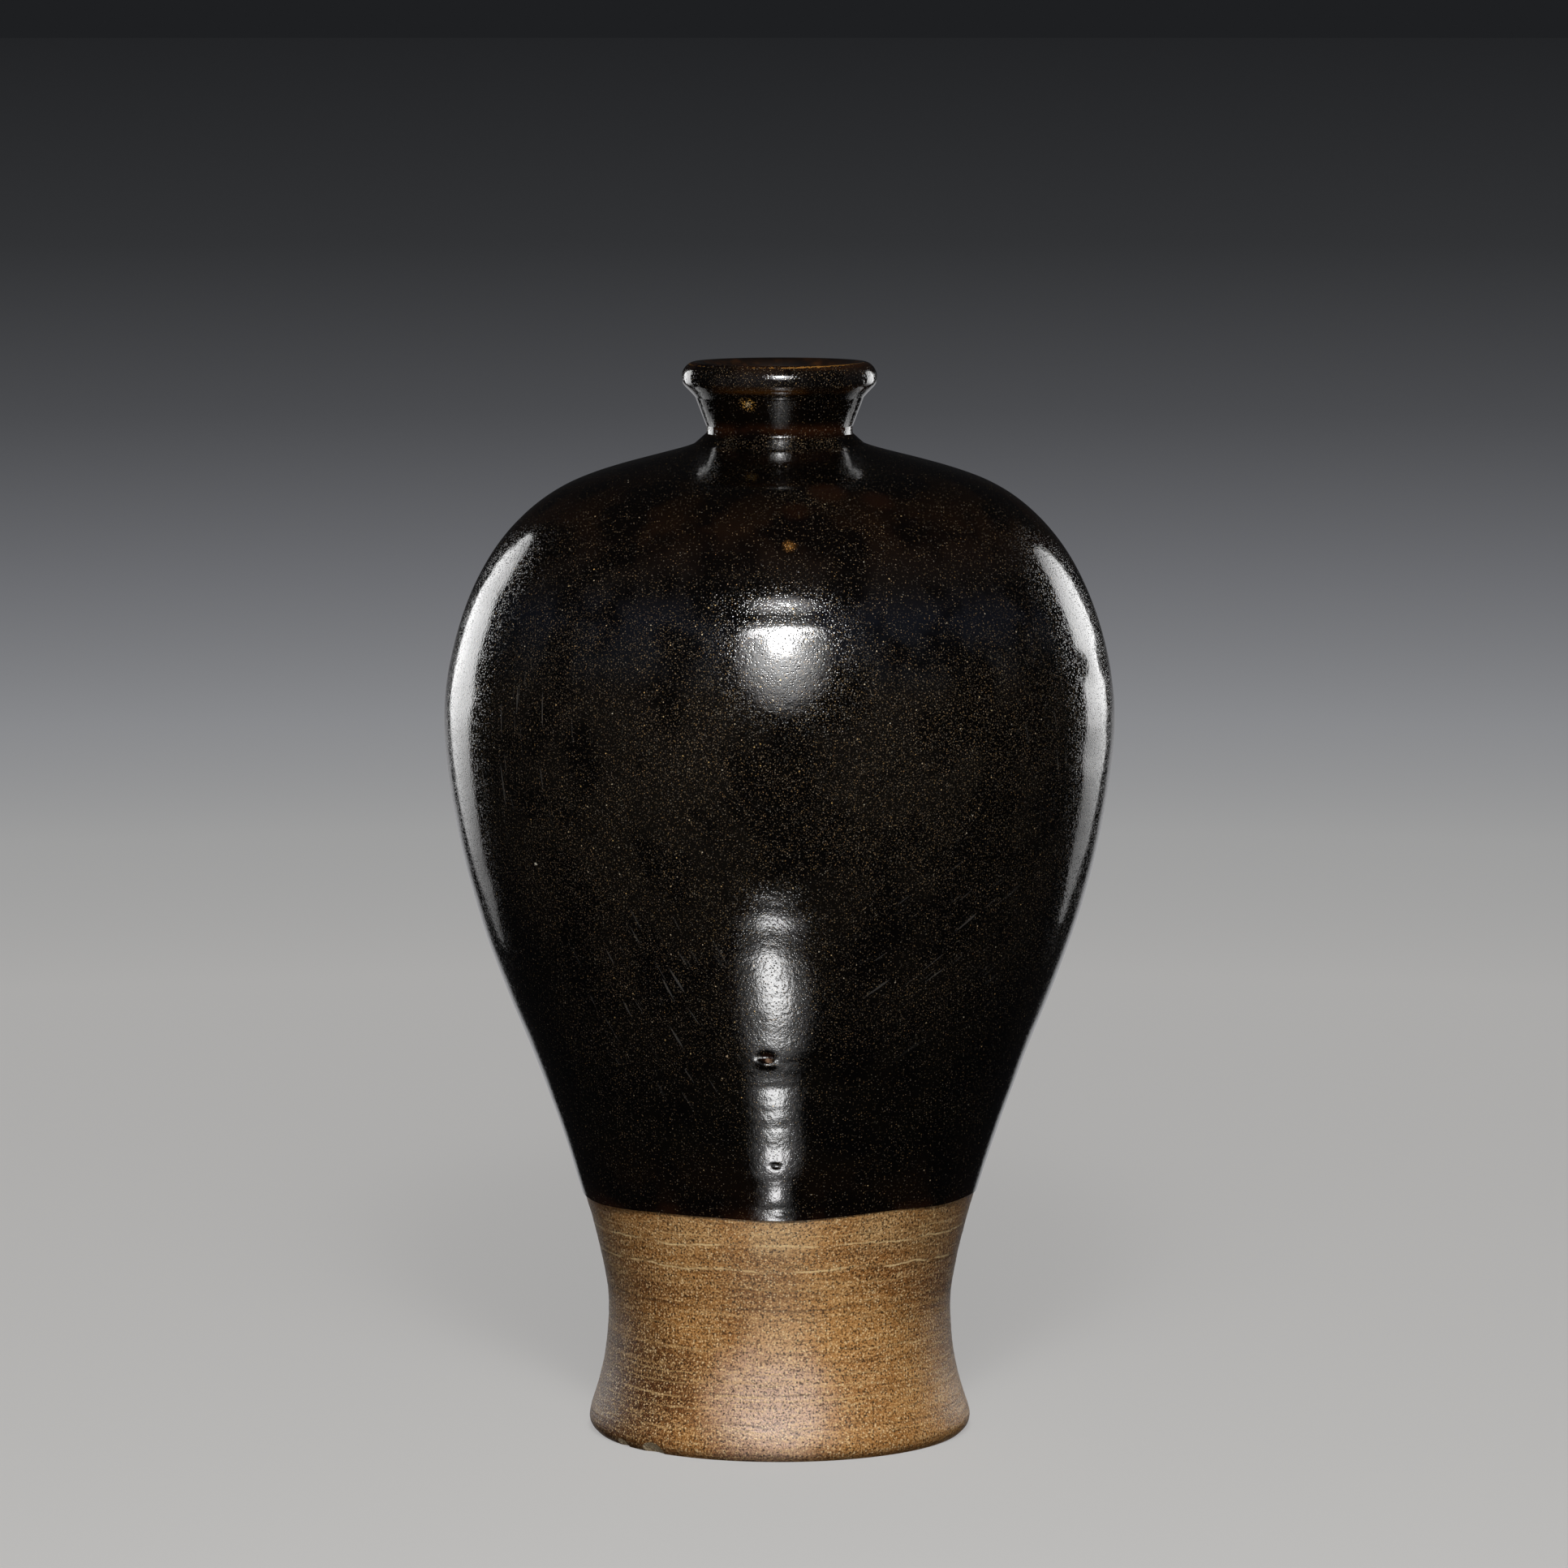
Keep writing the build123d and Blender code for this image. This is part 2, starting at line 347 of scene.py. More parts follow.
bpy.ops.mesh.select_all(action="DESELECT")
section = bmesh.from_edit_mesh(blackGlaze.data)
atCut = (glaze["edge"] + slack) * mm
for vertex in section.verts:
    vertex.select = vertex.co.z < atCut
bmesh.update_edit_mesh(blackGlaze.data)
bpy.ops.mesh.edge_face_add()
bpy.ops.mesh.select_all(action="DESELECT")
section = bmesh.from_edit_mesh(blackGlaze.data)
corner = max((v for v in section.verts if v.co.z < atCut), key=lambda v: v.co.xy.length)
corner.select = True
bmesh.update_edit_mesh(blackGlaze.data)
bpy.ops.mesh.bevel(offset=glaze["roll"] * mm, segments=5, affect="VERTICES")
bpy.ops.object.mode_set(mode="OBJECT")
spinPiece(blackGlaze, glaze["arcs"])
for depth, cell, offset in glaze["uneven"]:
    makeUneven(blackGlaze, "outside", depth, cell, offset)
pushSurface(blackGlaze, glaze["edgeWaves"], "Z")
frontRings = [(0, height, glaze["ringHalfWidth"], rise, push) for height, rise, push in glaze["rings"]]
pushSurface(blackGlaze, glaze["marks"] + frontRings)
print("black glaze shaped")

# Clay of the foot and lower wall, fine where it is bare
foot = {
    "start": 60,  # bearing where its spin starts, with degrees and steps of the front and of the rest
    "arcs": [(120, 190), (240, 190)],
    "seam": 239.5,  # top of this section, where the slip begins
    "covered": (77.5, 126),  # heights between which the glaze hides the clay, so that few rows do
    "keptRow": 12,  # one row in so many stays there
    "parting": (45, 0.108),  # radius of a cone inside the wall at its bottom, and its growth with height
    "underside": [(0, 3.5), (45.7, 3.5), (45.7, 1.2), (46.9, 0), (56.7, 0)],  # recess, chamfer and ring
    "undersideRows": (7, 0.8, 0.6, 0.9),  # row lengths in mm, here and in the next four lines
    "bareRow": 0.5,
    "coveredRows": [0.5, 8, 8],
    "floorRow": 8,
    "chamberRow": 11,
    "outsideFrom": 50,  # radius in mm past which the unevenness starts
    "evenBelow": 0.8,  # height in mm where it is full
    "fade": (79, 5),  # height in mm where it ends under the glaze, and the stretch below in which it fades
    "uneven": [
        (0.16, (240, 240, 2.1), (3, 8, 5)),  # fine throwing lines
        (0.34, (90, 90, 9), (11, 2, 7)),  # wide throwing rings
        (0.10, (1.7, 1.7, 1.3), (4, 9, 2)),  # coarse grit
    ],
    # bearing, width, depth and height of each flake knocked off the standing edge
    "chips": [(-41.9, 10.5, 1.9, 3.6), (-56.0, 5.0, 0.9, 2.6)],
    "torn": [(0.55, (3.2, 3.2, 2.2)), (0.3, (0.9, 0.9, 0.9))],  # depth and cells in mm of their torn faces
    # bearing, height, half width and half rise, and depth of pits and short cracks
    "marks": [
        (-13.7, 64.1, 0.9, 0.8, -0.5), (-3.8, 62.2, 2.6, 0.7, -0.5), (-51.9, 65.6, 1.9, 0.8, -0.4),
        (-62.7, 72.2, 1.0, 0.9, -0.4), (45.2, 68.9, 0.9, 0.8, -0.5), (6.5, 3.2, 2.6, 0.7, -0.3),
    ],
}


def drawChamber(depth):  # the hollow inside the clay, or inside a lining of this thickness
    return [
        setIn("floorEdge", depth),
        setIn("waist", thick["foot"] + depth, below=0.45),
        setIn("hip", thick["glaze"] + thick["lower"] + depth),
        setIn("belly", thick["glaze"] + thick["belly"] + depth),
        setIn("crown", thick["glaze"] + thick["shoulder"] + depth),
    ]


bareOutside = [setIn("toe", 0), setIn("foot", 0), setIn("waist", 0)]
coveredOutside = [setIn("waist", 0)] + [setIn(name, thick["glaze"]) for name in ("hip", "belly", "crown")]
footClay = drawProfile("footClay", (
    list(zip(drawStraight(foot["underside"]), foot["undersideRows"]))
    + [(bareOutside, foot["bareRow"]), (coveredOutside, foot["coveredRows"])]
    + [(run, foot["floorRow"]) for run in drawStraight([(0, floorHeight), (floorRadius, floorHeight)])]
    + [(drawChamber(0), foot["chamberRow"])]
), foot["start"])
makeActive(footClay)
bpy.ops.object.mode_set(mode="EDIT")
bpy.ops.mesh.select_all(action="SELECT")
bpy.ops.mesh.remove_doubles(threshold=mergeWithin)
bpy.ops.mesh.bisect(plane_co=(0, 0, foot["seam"] * mm), plane_no=(0, 0, 1), clear_outer=True)
bpy.ops.mesh.select_all(action="DESELECT")
section = bmesh.from_edit_mesh(footClay.data)
for vertex in section.verts:
    vertex.select = vertex.co.z > (foot["seam"] - slack) * mm
bmesh.update_edit_mesh(footClay.data)
bpy.ops.mesh.edge_face_add()
bpy.ops.mesh.select_all(action="DESELECT")
section = bmesh.from_edit_mesh(footClay.data)
coveredFrom, coveredTo = foot["covered"]
coneRadius, coneGrowth = foot["parting"]
covered = sorted(
    (v for v in section.verts if coveredFrom < v.co.z / mm < coveredTo
     and v.co.xy.length / mm > coneGrowth * v.co.z / mm + coneRadius),
    key=lambda v: v.co.z,
)
for i, vertex in enumerate(covered):
    vertex.select = i % foot["keptRow"] > 0
bmesh.update_edit_mesh(footClay.data)
bpy.ops.mesh.dissolve_verts()
bpy.ops.object.mode_set(mode="OBJECT")
spinPiece(footClay, foot["arcs"])
print("clay spun:", len(footClay.data.vertices), "vertices")
z, radius = readPlaces(footClay)[2:4]
fadeTo, fadeRise = foot["fade"]
bare = np.where(radius > foot["outsideFrom"], np.minimum(z / foot["evenBelow"], (fadeTo - z) / fadeRise), 0)
weighVertices(footClay, "bare", bare)
for depth, cell, offset in foot["uneven"]:
    makeUneven(footClay, "bare", depth, cell, offset)
pushSurface(footClay, foot["marks"])


def breakFlake(piece, bearing, width, depth, height, material):  # cuts with a ball whose skin is torn
    toe, widest = form["toe"][0], form["foot"][0]
    ball = (width ** 2 / 4 + depth ** 2) / (2 * depth)
    away = toe + ball - depth
    rise = math.sqrt(ball ** 2 - (away - widest) ** 2)
    deselectAll()
    middle = onAxis(bearing, away, height - rise)
    bpy.ops.mesh.primitive_ico_sphere_add(subdivisions=6, radius=ball * mm, location=middle)
    flake = bpy.context.object
    bpy.ops.object.transform_apply(location=True)
    flake.data.materials.append(material)
    bpy.ops.object.shade_smooth()
    everywhere = flake.vertex_groups.new(name="all")
    everywhere.add(range(len(flake.data.vertices)), 1, "REPLACE")
    for rough, cell in foot["torn"]:
        makeUneven(flake, "all", rough, cell, (bearing, 3, 1))
    makeActive(piece)
    cut = piece.modifiers.new("flake", "BOOLEAN")
    cut.operation = "DIFFERENCE"
    cut.solver = "EXACT"
    cut.material_mode = "TRANSFER"
    cut.object = flake
    bpy.ops.object.modifier_apply(modifier=cut.name)
    bpy.data.objects.remove(flake)


# Lining glaze over the mouth, neck, wall and floor inside
lining = {"start": 0, "arcs": [(360, 144)], "mouthRow": 0.9, "chamberRow": 9}

hollow = []
for depth in (0, thick["lining"]):
    inside = drawChamber(depth) + [
        setIn("neckRoot", thick["glaze"] + thick["shoulder"] + depth, above=0.30),
        setIn("throatLow", depth), setIn("throatHigh", depth),
    ]
    mouth = [setIn("throatHigh", depth), (crestRadius, crestHeight - thick["lining"] + depth, -90, 0.25, 0)]
    bottom = drawStraight([(0, floorHeight + depth), (floorRadius, floorHeight + depth)])
    hollow.append((inside, lining["chamberRow"]))
    hollow.append((mouth, lining["mouthRow"]))
    hollow += [(run, lining["chamberRow"]) for run in bottom]
hollow += [(run, 1) for run in crestStep]
mouthLining = drawProfile("mouthLining", hollow, lining["start"])
spinPiece(mouthLining, lining["arcs"])
print("lining spun:", len(mouthLining.data.vertices), "vertices")

# Bare iron-bearing stoneware, thrown, trimmed and fired without glaze: a dry gritty skin,
# with sand that stands proud, paler lines where the rib passed and browner flashes from the fire
stoneware = startMaterial("bareStoneware")
place = addNode(stoneware, "ShaderNodeTexCoord").outputs["Object"]
flash = addNode(
    stoneware, "ShaderNodeTexNoise", {"Scale": 1 / (40 * mm), "Detail": 3.0}, {"Vector": place},
).outputs["Fac"]
colour = addNode(
    stoneware, "ShaderNodeValToRGB", links={0: flash},
    stops=[(0.30, "#845229"), (0.46, "#a26d36"), (0.62, "#ba8448")],
).outputs[0]
footRadius = 54  # mm, where the stains and the painted light lie
clayTear = 12  # mm by which their edges are torn
clayStainsAndPaintedLight = [  # bearing and height in the middle, size in mm, tint and how much of it; stains, with some painted light among them
    (-66, 10, 30, "#5e3a22", 0.5), (-52, 8, 5, "#4a2a18", 0.7), (-40, 5, 9, "#7a4526", 0.6),
    (-78, 45, 34, "#5f452c", 0.5), (80, 40, 36, "#6b4c2e", 0.35), (-4, 54, 17, "#7d5330", 0.45),
    # the pale pink patch low in front, at 17 mm, is a painted sheen of the key light
    (-3, 17, 26, "#dab7a2", 0.77), (30, 22, 16, "#a56f3c", 0.5), (-36, 22, 17, "#6c3d1c", 0.65),
    # the pale patch at 38 mm in front is painted light on the lit front; the one at -56 degrees makes the
    # foot darker and redder low on the left; the pale patches at 73 mm, on this line and the next, are
    # painted light against the shade under the glaze's edge
    (1, 38, 15, "#cfa376", 0.6), (-56, 20, 30, "#482006", 0.8), (0, 73, 15, "#ddb987", 0.6),
    (-28, 73, 15, "#c9a06c", 0.45), (30, 73, 15, "#d6b07a", 0.45), (52, 70, 20, "#b08b58", 0.4),
    (120, 30, 40, "#6a4527", 0.5), (190, 18, 34, "#a9825a", 0.5), (235, 50, 30, "#5b3f28", 0.5),
]
torn = addNode(
    stoneware, "ShaderNodeTexNoise", {"Scale": 1 / (6 * mm), "Detail": 4.0}, {"Vector": place},
).outputs["Color"]
tornPlace = addNode(
    stoneware, "ShaderNodeVectorMath", {1: (clayTear * mm,) * 3}, {0: torn, 2: place},
    operation="MULTIPLY_ADD",
).outputs[0]
for bearing, height, size, tint, share in clayStainsAndPaintedLight:
    middle = onAxis(bearing, footRadius, height) + Vector((clayTear / 2,) * 3) * mm
    cover = coverRound(stoneware, tornPlace, middle, size, 0.3, share, "SMOOTHSTEP")
    colour = addNode(
        stoneware, "ShaderNodeMix", {7: tint}, {0: cover, 6: colour}, data_type="RGBA",
    ).outputs[2]

# Throwing rings, grit, and the drags of sand under the potter's hand
stretched = addNode(
    stoneware, "ShaderNodeMapping", {"Scale": (0.012, 0.012, 1.0)}, {"Vector": place},
).outputs[0]
rings = addNode(
    stoneware, "ShaderNodeTexNoise", {"Scale": 1 / (1.5 * mm), "Detail": 3.0, "Roughness": 0.6},
    {"Vector": stretched},
).outputs["Fac"]
grit = addNode(
    stoneware, "ShaderNodeTexNoise", {"Scale": 1 / (0.6 * mm), "Detail": 2.0, "Roughness": 0.7},
    {"Vector": place},
).outputs["Fac"]
stretched = addNode(
    stoneware, "ShaderNodeMapping", {"Scale": (0.10, 0.10, 1.0)}, {"Vector": place},
).outputs[0]
drags = addNode(
    stoneware, "ShaderNodeTexNoise", {"Scale": 1 / (1.1 * mm), "Detail": 3.0, "Roughness": 0.65},
    {"Vector": stretched},
).outputs["Fac"]
claySkin = [  # pattern, where it starts and is full, tint, how much of it
    (drags, 0.45, 0.33, "#4b2f17", 0.50), (drags, 0.56, 0.68, "#dab681", 0.45),
    (rings, 0.46, 0.34, "#5a3a1f", 0.30), (rings, 0.54, 0.66, "#c49a63", 0.35),
    (grit, 0.48, 0.37, "#34210f", 0.85), (grit, 0.54, 0.64, "#e2bf88", 0.75),
]
for pattern, start, full, tint, share in claySkin:
    cover = addNode(
        stoneware, "ShaderNodeMapRange", {1: start, 2: full, 3: 0.0, 4: share}, {0: pattern},
        interpolation_type="SMOOTHSTEP",
    ).outputs[0]
    colour = addNode(
        stoneware, "ShaderNodeMix", {7: tint}, {0: cover, 6: colour}, data_type="RGBA",
    ).outputs[2]

# Thin raised lines that the potter's rib left, wavering and broken, and dark lines that are painted shade in
# fine grooves
height = addNode(stoneware, "ShaderNodeSeparateXYZ", links={0: place}).outputs["Z"]
for cell, swing in ((30, 4.2), (6, 1.4)):
    sway = addNode(
        stoneware, "ShaderNodeTexNoise", {"Scale": 1 / (cell * mm), "Detail": 1.0}, {"Vector": place},
    ).outputs["Fac"]
    height = addNode(
        stoneware, "ShaderNodeMath", {1: swing * mm}, {0: sway, 2: height}, operation="MULTIPLY_ADD",
    ).outputs[0]
broken = addNode(
    stoneware, "ShaderNodeTexNoise", {"Scale": 1 / (13 * mm), "Detail": 3.0}, {"Vector": place},
).outputs["Fac"]
ribLift = 2.8  # mm by which the swings lift the height on average
ribLinesAndGrooveShade = [  # height and half the width in mm, tint, how much of it; the dark #4a2e17 lines are painted shade in grooves
    (69.2, 0.20, "#e8c990", 0.35), (65.8, 0.28, "#efd29b", 0.75), (58.0, 0.28, "#efd29b", 0.70),
    (52.8, 0.22, "#dcb87e", 0.35), (46.3, 0.4, "#4a2e17", 0.50), (39.5, 0.2, "#dcb87e", 0.25),
    (33.2, 0.24, "#dcb87e", 0.4), (29.8, 0.3, "#4a2e17", 0.35), (26.0, 0.24, "#dcb87e", 0.4),
    (22.6, 0.22, "#dcb87e", 0.35), (18.6, 0.26, "#dcb87e", 0.4), (15.0, 0.22, "#dcb87e", 0.3),
    (10.5, 0.3, "#4a2e17", 0.4), (8.8, 0.25, "#dcb87e", 0.3),
]
for level, half, tint, share in ribLinesAndGrooveShade:
    gap = 0.40 + 0.004 * (level % 7)  # each line breaks at other places
    away = addNode(
        stoneware, "ShaderNodeMath", {1: (level + ribLift) * mm}, {0: height}, operation="SUBTRACT",
    ).outputs[0]
    away = addNode(stoneware, "ShaderNodeMath", links={0: away}, operation="ABSOLUTE").outputs[0]
    line = addNode(
        stoneware, "ShaderNodeMapRange", {1: half * 1.5 * mm, 2: half * 0.5 * mm, 3: 0.0, 4: share},
        {0: away}, interpolation_type="SMOOTHSTEP",
    ).outputs[0]
    held = addNode(
        stoneware, "ShaderNodeMapRange", {1: gap, 2: 0.56, 3: 0.1, 4: 1.0}, {0: broken},
        interpolation_type="SMOOTHSTEP",
    ).outputs[0]
    line = addNode(stoneware, "ShaderNodeMath", links={0: line, 1: held}, operation="MULTIPLY").outputs[0]
    colour = addNode(stoneware, "ShaderNodeMix", {7: tint}, {0: line, 6: colour}, data_type="RGBA").outputs[2]

# Grains of sand: dark iron-bearing ones and pale quartz, drawn a little coarser than they are
grains = [  # cell and radius in mm, share of cells with one, tint, cover
    (1.0, 0.42, 0.42, "#2e1c0c", 0.9), (0.9, 0.36, 0.42, "#f0d6a6", 0.85), (2.6, 0.5, 0.20, "#2a190b", 0.9),
]
for cell, size, share, tint, cover in grains:
    away, luck = scatterCells(stoneware, place, cell)
    present = addNode(stoneware, "ShaderNodeMath", {1: share}, {0: luck[0]}, operation="LESS_THAN").outputs[0]
    shape = addNode(
        stoneware, "ShaderNodeMapRange", {1: size / cell, 2: size / cell * 0.4, 3: 0.0, 4: cover}, {0: away},
    ).outputs[0]
    mask = addNode(stoneware, "ShaderNodeMath", links={0: present, 1: shape}, operation="MULTIPLY").outputs[0]
    colour = addNode(stoneware, "ShaderNodeMix", {7: tint}, {0: mask, 6: colour}, data_type="RGBA").outputs[2]
bumpy = None
for pattern, depth in ((grit, 0.20), (rings, 0.13)):
    bumpy = addNode(
        stoneware, "ShaderNodeBump", {"Strength": 1.0, "Distance": depth * mm},
        {"Height": pattern, "Normal": bumpy} if bumpy else {"Height": pattern},
    ).outputs[0]
shader = addNode(
    stoneware, "ShaderNodeBsdfPrincipled", {"Roughness": 0.38, "IOR": 1.5, "Specular IOR Level": 0.6},
    {"Base Color": colour, "Normal": bumpy},
)
addNode(stoneware, "ShaderNodeOutputMaterial", links={"Surface": shader.outputs[0]})

# Plain gritty clays: the sugary inside of the body where a flake came off, and the stoneware
# and joint slip of the sections that the glaze hides
plainClays = {}
for name, dark, light, cell, depth in (
    ("brokenStoneware", "#a1845f", "#ead6b2", 0.5, 0.2),
    ("buriedStoneware", "#7d5a34", "#a67e4c", 0.8, 0.1),
    ("jointSlip", "#6f4e2c", "#8f6c42", 0.8, 0.1),
):
    plainClays[name] = startMaterial(name)
    place = addNode(plainClays[name], "ShaderNodeTexCoord").outputs["Object"]
    grain = addNode(
        plainClays[name], "ShaderNodeTexNoise", {"Scale": 1 / (cell * mm), "Detail": 3.0}, {"Vector": place},
    ).outputs["Fac"]
    colour = addNode(
        plainClays[name], "ShaderNodeValToRGB", links={0: grain}, stops=[(0.36, dark), (0.62, light)],
    ).outputs[0]
    bumpy = addNode(
        plainClays[name], "ShaderNodeBump", {"Distance": depth * mm}, {"Height": grain},
    ).outputs[0]
    shader = addNode(
        plainClays[name], "ShaderNodeBsdfPrincipled", {"Roughness": 0.78, "IOR": 1.5},
        {"Base Color": colour, "Normal": bumpy},
    )
    addNode(plainClays[name], "ShaderNodeOutputMaterial", links={"Surface": shader.outputs[0]})

# Iron-saturated stoneware glaze, dipped and fired slowly: a clear glassy top over a brown-black body,
# in which fine golden iron crystals hang. It gives sharp highlights with a grainy glow round them, and
# turns brown where it ran thin: on the crest, under the lip, round the neck's root and at its edge
ironGlaze = startMaterial("blackIronGlaze")
place = addNode(ironGlaze, "ShaderNodeTexCoord").outputs["Object"]
height = addNode(ironGlaze, "ShaderNodeSeparateXYZ", links={0: place}).outputs["Z"]
glazeRise = crestHeight - glaze["edge"]
rise = addNode(
    ironGlaze, "ShaderNodeMapRange", {1: glaze["edge"] * mm, 2: crestHeight * mm}, {0: height},
).outputs[0]
tintsByHeight = [  # height in mm and the colour of the thinned glaze there; the bluish stops at 246 and 258 mm are a painted sheen, the haze round the key highlight
    (75, "#241208"), (79, "#100804"), (100, "#080604"), (150, "#0b0806"), (200, "#0f0c09"), (236, "#0f0c0a"),
    (246, "#101012"), (258, "#0f1015"), (268, "#0f0c0b"), (284, "#140b06"), (293, "#0c0603"),
    (300, "#050302"), (307.5, "#050302"), (310.4, "#271308"), (312.5, "#080503"), (321.4, "#0a0503"),
    (322.3, "#50300f"), (323.3, "#120e0c"), (326, "#1a1717"), (328.8, "#1a110b"), (329.8, "#231309"),
    (330, "#231309"),
]
thinnedAndSheen = addNode(
    ironGlaze, "ShaderNodeValToRGB", links={0: rise},
    stops=[((level - glaze["edge"]) / glazeRise, tint) for level, tint in tintsByHeight],
).outputs[0]
clouds = addNode(
    ironGlaze, "ShaderNodeTexNoise", {"Scale": 1 / (18 * mm), "Detail": 4.0}, {"Vector": place},
).outputs["Fac"]
cloudy = addNode(
    ironGlaze, "ShaderNodeMapRange", {1: 0.40, 2: 0.58, 3: 0.15, 4: 1.0}, {0: clouds},
    interpolation_type="SMOOTHSTEP",
).outputs[0]
colour = addNode(
    ironGlaze, "ShaderNodeMix", {6: "#030202"}, {0: cloudy, 7: thinnedAndSheen}, data_type="RGBA",
).outputs[2]
patches = addNode(
    ironGlaze, "ShaderNodeTexNoise", {"Scale": 1 / (34 * mm), "Detail": 5.0, "Roughness": 0.6},
    {"Vector": place},
).outputs["Fac"]
crowd = addNode(
    ironGlaze, "ShaderNodeMapRange", {1: 0.35, 2: 0.65, 3: 0.55, 4: 1.35}, {0: patches},
).outputs[0]
for low, high, share in ((75, 190, 0.35), (300, 235, 0.2)):  # fewer crystals towards the edge and the crown
    fewer = addNode(
        ironGlaze, "ShaderNodeMapRange", {1: low * mm, 2: high * mm, 3: share, 4: 1.0}, {0: height},
        interpolation_type="SMOOTHSTEP",
    ).outputs[0]
    crowd = addNode(ironGlaze, "ShaderNodeMath", links={0: crowd, 1: fewer}, operation="MULTIPLY").outputs[0]
crystalClusters = [  # bearing, radius and height in the middle, size in mm, how many more crystals
    (-22.1, 24.9, 318.5, 3.4, 2.2), (2.1, 81, 278.9, 3.2, 1.6), (2.2, 84, 273, 2.4, 1.0),
    (9, 66, 291, 16, 0.5), (-38, 25, 304.8, 6, 1.6), (-12, 25, 304.8, 6, 1.2), (10, 25, 304.8, 7, 1.6),
    (36, 25, 304.8, 7, 1.4), (-34, 29, 325.5, 12, 0.7), (0, 29, 325.5, 12, 0.9), (34, 29, 325.5, 12, 0.7),
]
for bearing, radius, level, size, more in crystalClusters:
    cover = coverRound(ironGlaze, place, onAxis(bearing, radius, level), size, 0.2, more)
    crowd = addNode(ironGlaze, "ShaderNodeMath", links={0: crowd, 1: cover}, operation="ADD").outputs[0]

# Iron crystals in three sizes, the finest drawn coarser than they are
crystals = [  # cell and radius in mm, share of cells with one, golden and grey tints, cover
    (0.50, 0.18, 0.95, "#57462f", "#4a4640", 0.80),
    (0.70, 0.20, 0.55, "#8c7047", "#807a6e", 0.80),
    (1.90, 0.25, 0.15, "#e0b870", "#d2cab8", 0.9),
]
glint = None
for cell, size, share, golden, grey, cover in crystals:
    away, luck = scatterCells(ironGlaze, place, cell)
    chance = addNode(ironGlaze, "ShaderNodeMath", {1: share}, {0: crowd}, operation="MULTIPLY").outputs[0]
    present = addNode(
        ironGlaze, "ShaderNodeMath", links={0: luck[0], 1: chance}, operation="LESS_THAN",
    ).outputs[0]
    shape = addNode(
        ironGlaze, "ShaderNodeMapRange", {1: size / cell, 2: size / cell * 0.5, 3: 0.0, 4: cover}, {0: away},
    ).outputs[0]
    mask = addNode(ironGlaze, "ShaderNodeMath", links={0: present, 1: shape}, operation="MULTIPLY").outputs[0]
    tint = addNode(
        ironGlaze, "ShaderNodeMix", {6: golden, 7: grey}, {0: luck[1]}, data_type="RGBA",
    ).outputs[2]
    colour = addNode(
        ironGlaze, "ShaderNodeMix", links={0: mask, 6: colour, 7: tint}, data_type="RGBA",
    ).outputs[2]
    glint = mask if glint is None else addNode(
        ironGlaze, "ShaderNodeMath", links={0: glint, 1: mask}, operation="MAXIMUM",
    ).outputs[0]

# Scratch marks from handling: short strokes side by side, drawn wider than the hair-thin ones they stand for.
# Their pale tint is partly their own and partly painted glint, where they catch the key light round its
# highlight.
# Bearing, radius and height in the middle, size in mm, tilt in degrees, how far apart and how long in mm,
# and how much of them
scratchesAndGlints = [
    # the four near the front between 242 and 272 mm lie round the key highlight and are painted glints
    (12.5, 90, 242.5, 4.5, -20, 0.8, 6, 0.9), (-52.5, 101, 219, 34, 6, 1.3, 24, 0.14),
    (-2, 84, 272, 4.5, 28, 0.8, 4, 0.6), (-26, 84, 140, 40, 25, 1.4, 16, 0.10),
    (30, 90, 160, 40, -55, 1.4, 16, 0.08), (9, 88, 248, 14, -12, 0.9, 7, 0.30),
    (-7, 88, 248, 14, 30, 0.9, 7, 0.26), (60, 100, 225, 34, 12, 1.3, 20, 0.12),
    (150, 100, 215, 60, 20, 1.4, 24, 0.12),
]
for bearing, radius, level, size, tilt, apart, long, share in scratchesAndGlints:
    facing = addNode(
        ironGlaze, "ShaderNodeMapping", {"Rotation": (0, 0, math.radians(-bearing))}, {"Vector": place},
    ).outputs[0]
    laid = addNode(
        ironGlaze, "ShaderNodeMapping", {"Rotation": (0, math.radians(tilt), 0)}, {"Vector": facing},
    ).outputs[0]
    drawn = addNode(
        ironGlaze, "ShaderNodeMapping", {"Scale": (1 / apart / mm, 0.0, 1 / long / mm)}, {"Vector": laid},
    ).outputs[0]
    strokes = addNode(
        ironGlaze, "ShaderNodeTexNoise", {"Scale": 1.0, "Detail": 1.0}, {"Vector": drawn},
    ).outputs["Fac"]
    near = coverRound(ironGlaze, place, onAxis(bearing, radius, level), size, 0.5, share)
    mark = addNode(ironGlaze, "ShaderNodeMapRange", {1: 0.66, 2: 0.74}, {0: strokes}).outputs[0]
    mark = addNode(ironGlaze, "ShaderNodeMath", links={0: mark, 1: near}, operation="MULTIPLY").outputs[0]
    colour = addNode(
        ironGlaze, "ShaderNodeMix", {7: "#b5b0aa"}, {0: mark, 6: colour}, data_type="RGBA",
    ).outputs[2]

